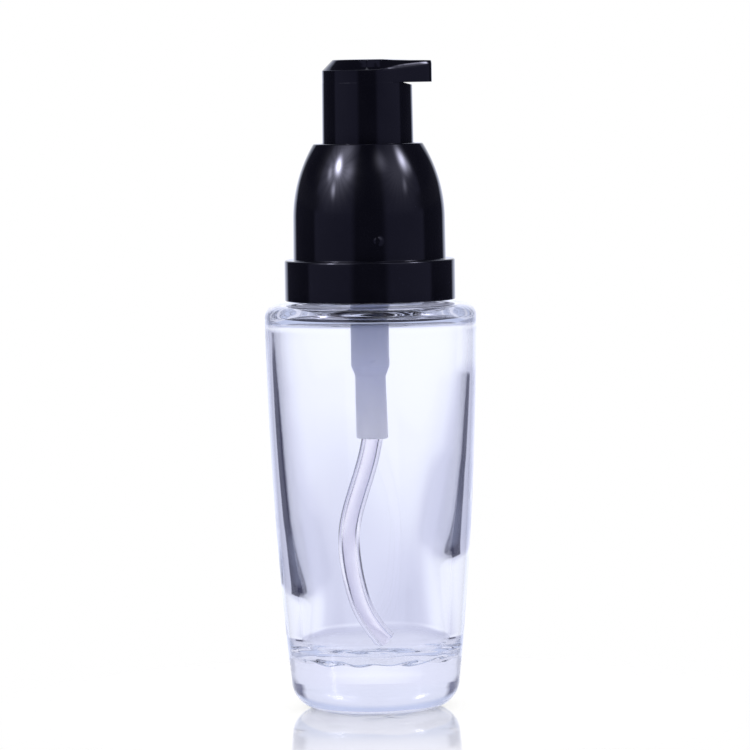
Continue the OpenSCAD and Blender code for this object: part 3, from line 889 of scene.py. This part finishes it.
# what black plastic and the outside of the glass mirror: a white wall behind, dark flats beside it,
# dim side walls, a dark camera end, and two ribbed umbrellas above
base = table_in(nt, azn, [(0.0, (1.0, 1.04, 1.25)), (19 * D, (1.0, 1.04, 1.25)), (28 * D, (0.6, 0.65, 0.85)), (35 * D, (0.03, 0.03, 0.05)), (85 * D, (0.02, 0.02, 0.035)),
                          (93 * D, (0.145, 0.145, 0.26)), (150 * D, (0.125, 0.125, 0.235)), (162 * D, (0.012, 0.012, 0.02)), (1.0, (0.01, 0.01, 0.015))])
sky = table_in(nt, azn, [(0.0, (1.16, 1.16, 1.17)), (12 * D, (1.16, 1.16, 1.17)), (22 * D, (0.7, 0.74, 0.9)), (33 * D, (0.05, 0.05, 0.07)), (85 * D, (0.04, 0.04, 0.06)), (110 * D, (0.17, 0.17, 0.30)), (150 * D, (0.15, 0.15, 0.27)), (162 * D, (0.012, 0.012, 0.02)), (1.0, (0.01, 0.01, 0.015))])
level = op_in(nt, "MULTIPLY", op_in(nt, "DIVIDE", op_in(nt, "SUBTRACT", eld, 3.0), 3.0, clamp=True), op_in(nt, "DIVIDE", op_in(nt, "SUBTRACT", 16.0, eld), 4.0, clamp=True))
base = mix_in(nt, level, base, sky)


def umbrella(a0, e0, size, ribs, phase):
    body, u, v = lobe(a0, e0, size, size * 0.85)
    ang = op_in(nt, "ARCTAN2", v, u)
    rib = op_in(nt, "ABSOLUTE", op_in(nt, "COSINE", op_in(nt, "ADD", op_in(nt, "MULTIPLY", ang, ribs / 2.0), phase)))
    rib = op_in(nt, "ADD", op_in(nt, "MULTIPLY", rib, 0.25), 0.75)
    return op_in(nt, "MULTIPLY", body, rib)


spots = total([
    (34.0, lobe(-118.8, 37.2, 4.1, 5.6, -43)[0]),
    (2.8, umbrella(-121, 36, 19, 20, 0.4)),
    (4.0, lobe(-106, 29.5, 3.2, 4.8, -43)[0]),
    (2.2, lobe(-143, 36, 7, 6, -43)[0]),
    (5.0, lobe(-120, 20, 3, 4.6, -21)[0]),
    (1.2, lobe(-128, 51, 10, 6, -30)[0]),
    (16.0, lobe(105.8, 38.5, 5.5, 6.5)[0]),
    (0.7, umbrella(124, 34, 20, 24, 1.1)),
    (1.7, lobe(97, 31.8, 3.6, 4)[0]),
    (1.6, lobe(117, 22.5, 3, 4.8, 21)[0]),
    (1.2, lobe(153, 45, 8, 7, 43)[0]),
])
white = nt.nodes.new("ShaderNodeCombineColor")
for i, k in enumerate((1.0, 1.0, 1.3)):
    nt.links.new(op_in(nt, "MULTIPLY", spots, k), white.inputs[i])
glossy = mix_in(nt, 1.0, base, white.outputs[0], "ADD")

# what is seen through the glass: the white wall, a little dimmer low down, and the dark flats' edges
elx = op_in(nt, "DIVIDE", op_in(nt, "ADD", eld, 12.0), 24.0, clamp=True)     # -12 degrees -> 0, +12 -> 1
wall_c = table_in(nt, elx, [(0.0, (0.64, 0.66, 0.85)), (0.17, (0.68, 0.70, 0.89)), (0.20, (0.76, 0.78, 0.97)), (0.235, (0.90, 0.93, 1.09)), (0.27, (1.0, 1.03, 1.17)), (0.36, (1.04, 1.07, 1.19)),
                            (0.41, (1.0, 1.03, 1.17)), (0.46, (0.78, 0.80, 0.98)), (0.70, (0.77, 0.80, 0.98)), (1.0, (0.76, 0.79, 0.97))], "LINEAR")
DK = (0.09, 0.09, 0.125)
mask_low = table_in(nt, azn, [(0.0, (1, 1, 1)), (30 * D, (1, 1, 1)), (33 * D, DK), (72 * D, DK), (82 * D, (0.85, 0.86, 0.9)),
                              (98 * D, (0.85, 0.86, 0.9)), (108 * D, DK), (147 * D, DK), (150 * D, (1, 1, 1)), (1.0, (1, 1, 1))], "LINEAR")
mask_up = table_in(nt, azn, [(0.0, (1, 1, 1)), (46 * D, (1, 1, 1)), (54 * D, (0.16, 0.16, 0.23)), (80 * D, (0.16, 0.16, 0.23)), (87 * D, (0.6, 0.62, 0.7)),
                             (93 * D, (0.6, 0.62, 0.7)), (100 * D, (0.16, 0.16, 0.23)), (126 * D, (0.16, 0.16, 0.23)), (134 * D, (1, 1, 1)), (1.0, (1, 1, 1))], "LINEAR")
# the dark flats are low, beside the table
lowcut = op_in(nt, "MULTIPLY", op_in(nt, "SUBTRACT", eld, -9.2), 1.2, clamp=True)
mask_low = mix_in(nt, lowcut, mask_low, (1.0, 1.0, 1.0))
mask = mix_in(nt, op_in(nt, "DIVIDE", op_in(nt, "SUBTRACT", eld, 2.0), 2.0, clamp=True), mask_low, mask_up)
elm = op_in(nt, "DIVIDE", op_in(nt, "SUBTRACT", op_in(nt, "ABSOLUTE", eld), 15.0), 9.0, clamp=True)
mask = mix_in(nt, elm, mask, (0.74, 0.79, 0.89))
through = mix_in(nt, 1.0, wall_c, mask, "MULTIPLY")

lp = nt.nodes.new("ShaderNodeLightPath")
col = mix_in(nt, lp.outputs["Is Glossy Ray"], (1.10, 1.10, 1.14), glossy)
col = mix_in(nt, lp.outputs["Is Transmission Ray"], col, through)
col = mix_in(nt, op_in(nt, "GREATER_THAN", lp.outputs["Diffuse Depth"], 0.5), col, (1.08, 1.08, 1.14))
col = mix_in(nt, lp.outputs["Is Camera Ray"], col, (1.0, 1.0, 1.0))
bg = nt.nodes.new("ShaderNodeBackground")
nt.links.new(col, bg.inputs["Color"])
nt.links.new(bg.outputs[0], out.inputs["Surface"])
